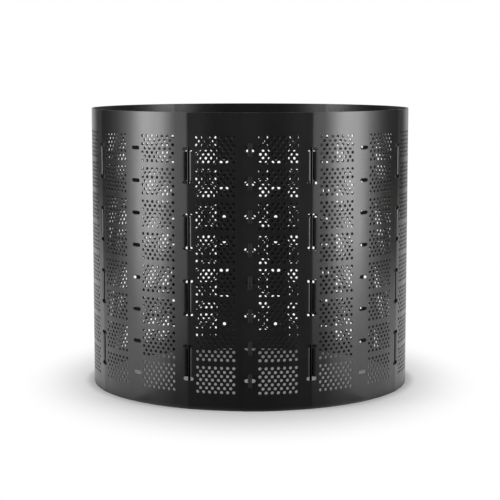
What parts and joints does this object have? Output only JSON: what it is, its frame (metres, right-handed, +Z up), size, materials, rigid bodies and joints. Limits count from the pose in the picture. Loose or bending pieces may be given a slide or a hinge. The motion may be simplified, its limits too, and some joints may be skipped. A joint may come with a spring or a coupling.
{
  "type": "compost bin",
  "caption": "Open round compost bin: a perforated black plastic sheet rolled into a ring, closed by twist keys at a lap seam and stiffened by rods woven through slots.",
  "frame": {"origin": "on the ground, at the centre of the ring", "axes": "+Z up along the ring's axis; -Y toward the lap seam with its column of keys, which is the front; +X to the right of someone facing the seam"},
  "size_m": [1.0522, 1.0626, 0.914],
  "materials": {
    "sheet": "satin black HDPE sheet",
    "rod_coat": "gloss black coat",
    "rod_steel": "drawn steel tube",
    "rod_plug": "moulded black plastic",
    "key": "moulded black plastic"
  },
  "bodies": {
    "wall": {"wall_bay_01": "sheet", "wall_bay_02": "sheet", "wall_bay_03": "sheet", "wall_bay_04": "sheet", "wall_bay_05": "sheet", "wall_bay_06": "sheet", "wall_bay_07": "sheet", "wall_bay_08": "sheet", "wall_bay_09": "sheet", "wall_bay_10": "sheet", "wall_bay_11": "sheet", "wall_bay_12": "sheet", "wall_bay_13": "sheet", "wall_bay_14": "sheet", "wall_bay_15": "sheet", "wall_bay_16": "sheet", "wall_bay_17": "sheet"},
    "rod_01": {"rod_01_tube": "rod_steel", "rod_01_sleeve": "rod_coat", "rod_01_foot_plug": "rod_plug", "rod_01_top_plug": "rod_plug"},
    "rod_02": {"rod_02_tube": "rod_steel", "rod_02_sleeve": "rod_coat", "rod_02_foot_plug": "rod_plug", "rod_02_top_plug": "rod_plug"},
    "rod_03": {"rod_03_tube": "rod_steel", "rod_03_sleeve": "rod_coat", "rod_03_foot_plug": "rod_plug", "rod_03_top_plug": "rod_plug"},
    "rod_04": {"rod_04_tube": "rod_steel", "rod_04_sleeve": "rod_coat", "rod_04_foot_plug": "rod_plug", "rod_04_top_plug": "rod_plug"},
    "rod_05": {"rod_05_tube": "rod_steel", "rod_05_sleeve": "rod_coat", "rod_05_foot_plug": "rod_plug", "rod_05_top_plug": "rod_plug"},
    "rod_06": {"rod_06_tube": "rod_steel", "rod_06_sleeve": "rod_coat", "rod_06_foot_plug": "rod_plug", "rod_06_top_plug": "rod_plug"},
    "rod_07": {"rod_07_tube": "rod_steel", "rod_07_sleeve": "rod_coat", "rod_07_foot_plug": "rod_plug", "rod_07_top_plug": "rod_plug"},
    "rod_08": {"rod_08_tube": "rod_steel", "rod_08_sleeve": "rod_coat", "rod_08_foot_plug": "rod_plug", "rod_08_top_plug": "rod_plug"},
    "key_01": {"key_01": "key"},
    "key_02": {"key_02": "key"},
    "key_03": {"key_03": "key"},
    "key_04": {"key_04": "key"},
    "key_05": {"key_05": "key"},
    "key_06": {"key_06": "key"},
    "key_07": {"key_07": "key"},
    "key_08": {"key_08": "key"}
  },
  "joints": [
    {"name": "rod_01_lift", "type": "slide", "parent": "wall", "child": "rod_01", "axis": [0, 0, 1], "range_m": [0, 0.92]},
    {"name": "rod_02_lift", "type": "slide", "parent": "wall", "child": "rod_02", "axis": [0, 0, 1], "range_m": [0, 0.92]},
    {"name": "rod_03_lift", "type": "slide", "parent": "wall", "child": "rod_03", "axis": [0, 0, 1], "range_m": [0, 0.92]},
    {"name": "rod_04_lift", "type": "slide", "parent": "wall", "child": "rod_04", "axis": [0, 0, 1], "range_m": [0, 0.92]},
    {"name": "rod_05_lift", "type": "slide", "parent": "wall", "child": "rod_05", "axis": [0, 0, 1], "range_m": [0, 0.92]},
    {"name": "rod_06_lift", "type": "slide", "parent": "wall", "child": "rod_06", "axis": [0, 0, 1], "range_m": [0, 0.92]},
    {"name": "rod_07_lift", "type": "slide", "parent": "wall", "child": "rod_07", "axis": [0, 0, 1], "range_m": [0, 0.92]},
    {"name": "rod_08_lift", "type": "slide", "parent": "wall", "child": "rod_08", "axis": [0, 0, 1], "range_m": [0, 0.92]},
    {"name": "key_01_turn", "type": "hinge", "parent": "wall", "child": "key_01", "pos_m": [0, -0.52489, 0.095], "axis": [0, -1, 0], "range_deg": [0, 90]},
    {"name": "key_02_turn", "type": "hinge", "parent": "wall", "child": "key_02", "pos_m": [0, -0.52489, 0.196], "axis": [0, -1, 0], "range_deg": [0, 90]},
    {"name": "key_03_turn", "type": "hinge", "parent": "wall", "child": "key_03", "pos_m": [0, -0.52489, 0.297], "axis": [0, -1, 0], "range_deg": [0, 90]},
    {"name": "key_04_turn", "type": "hinge", "parent": "wall", "child": "key_04", "pos_m": [0, -0.52489, 0.398], "axis": [0, -1, 0], "range_deg": [0, 90]},
    {"name": "key_05_turn", "type": "hinge", "parent": "wall", "child": "key_05", "pos_m": [0, -0.52489, 0.499], "axis": [0, -1, 0], "range_deg": [0, 90]},
    {"name": "key_06_turn", "type": "hinge", "parent": "wall", "child": "key_06", "pos_m": [0, -0.52489, 0.6], "axis": [0, -1, 0], "range_deg": [0, 90]},
    {"name": "key_07_turn", "type": "hinge", "parent": "wall", "child": "key_07", "pos_m": [0, -0.52489, 0.701], "axis": [0, -1, 0], "range_deg": [0, 90]},
    {"name": "key_08_turn", "type": "hinge", "parent": "wall", "child": "key_08", "pos_m": [0, -0.52489, 0.802], "axis": [0, -1, 0], "range_deg": [0, 90]}
  ]
}
